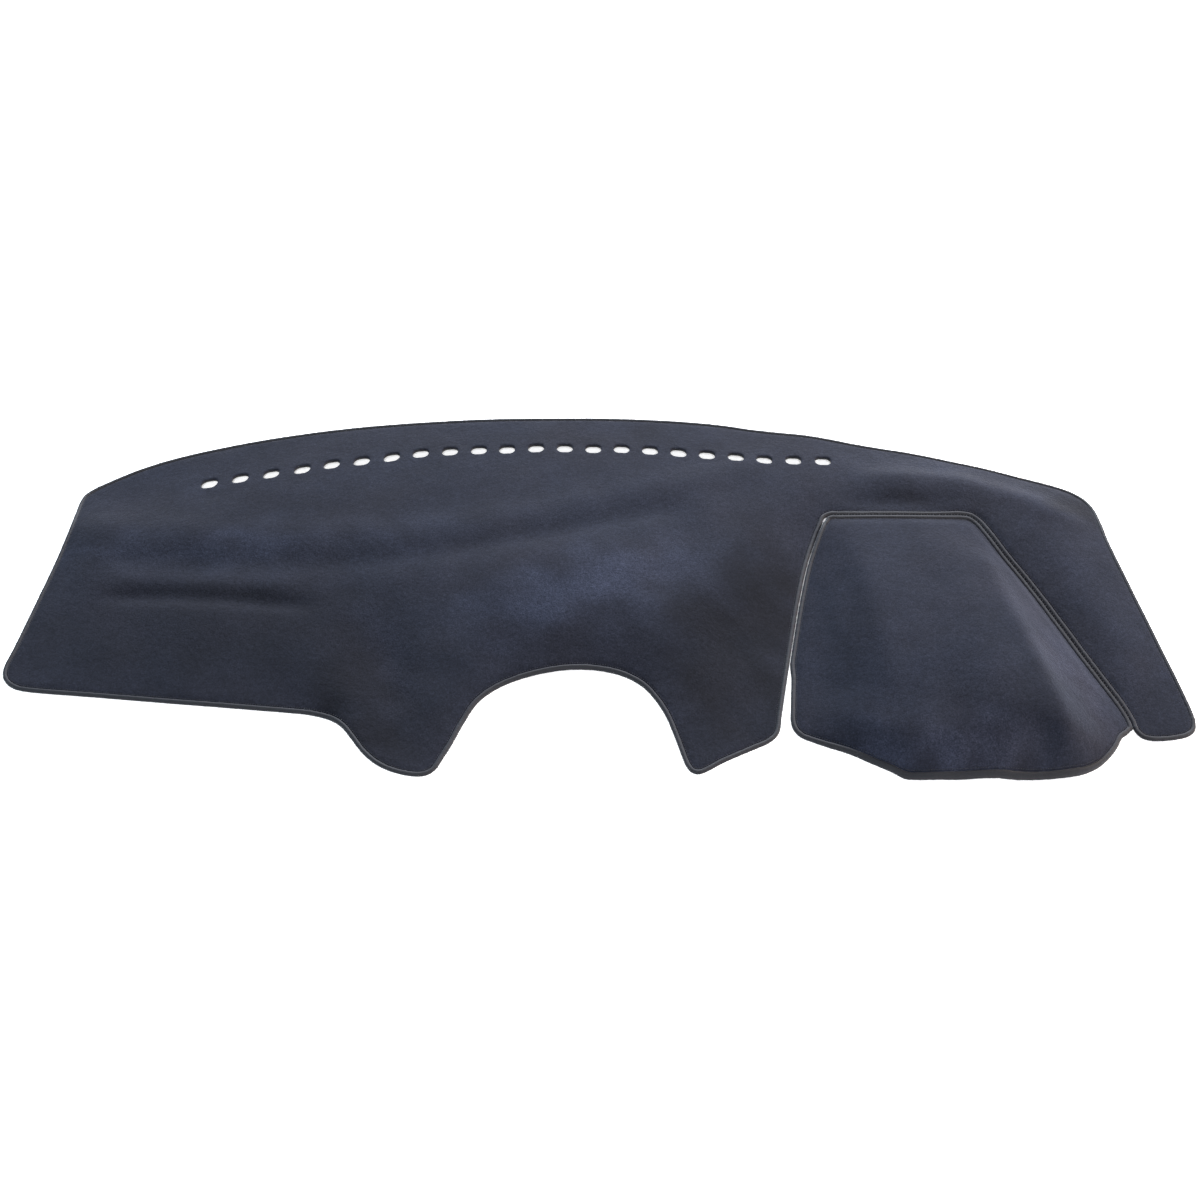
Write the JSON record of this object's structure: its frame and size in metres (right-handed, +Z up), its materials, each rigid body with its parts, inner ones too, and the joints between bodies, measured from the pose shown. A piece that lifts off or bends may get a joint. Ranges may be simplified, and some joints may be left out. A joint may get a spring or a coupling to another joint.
{
  "type": "dashboard cover mat",
  "caption": "Fitted felt mat that covers a car dashboard, with an overlocked edge, a row of demister slots, a centre arch and a sewn-in instrument hood.",
  "frame": {"origin": "centre of the bounding box in plan, on the floor the mat lies on", "axes": "+X along the mat's length towards the hood side, +Y towards the windscreen edge, +Z up, out of the felt face"},
  "size_m": [1.4576, 0.6008, 0.0724],
  "materials": {
    "felt": "matte",
    "edge_thread": "matte",
    "seam_tape": "matte",
    "hook_tape": "matte"
  },
  "bodies": {
    "root": {"main_panel": "felt", "hood_panel": "felt", "main_edge_binding": "edge_thread", "hood_edge_binding": "edge_thread", "hood_seam_tape": "seam_tape", "hook_pad_1": "hook_tape", "hook_pad_2": "hook_tape", "hook_pad_3": "hook_tape", "hook_pad_4": "hook_tape", "hook_pad_5": "hook_tape"}
  },
  "joints": []
}
